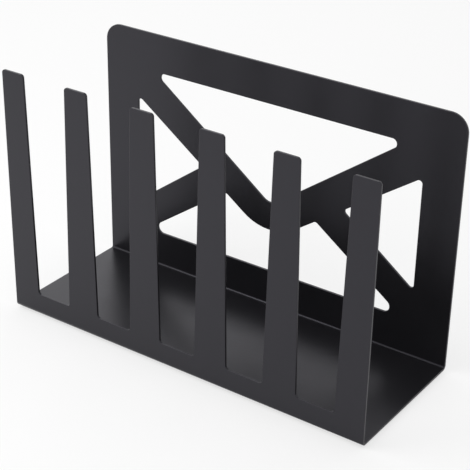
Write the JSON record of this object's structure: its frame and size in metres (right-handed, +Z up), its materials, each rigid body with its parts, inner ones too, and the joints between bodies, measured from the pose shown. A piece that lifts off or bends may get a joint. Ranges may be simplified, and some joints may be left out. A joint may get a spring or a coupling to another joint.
{
  "type": "letter holder",
  "caption": "Open-ended letter holder folded from black steel sheet: a back wall cut with an envelope figure, a flat base and a low-kerbed picket front, on stick-on rubber pads.",
  "frame": {"origin": "on the desk, below the middle of the trough", "axes": "+X along the envelopes, to the right as seen from the front; +Y from the front wall to the back wall; +Z up"},
  "size_m": [0.25, 0.095, 0.1615],
  "materials": {
    "black_powder_coat": "fine matte powder coat",
    "black_rubber": "matte"
  },
  "bodies": {
    "root": {"folded_sheet": "black_powder_coat", "pad_front_left": "black_rubber", "pad_front_right": "black_rubber", "pad_back_left": "black_rubber", "pad_back_right": "black_rubber"}
  },
  "joints": []
}
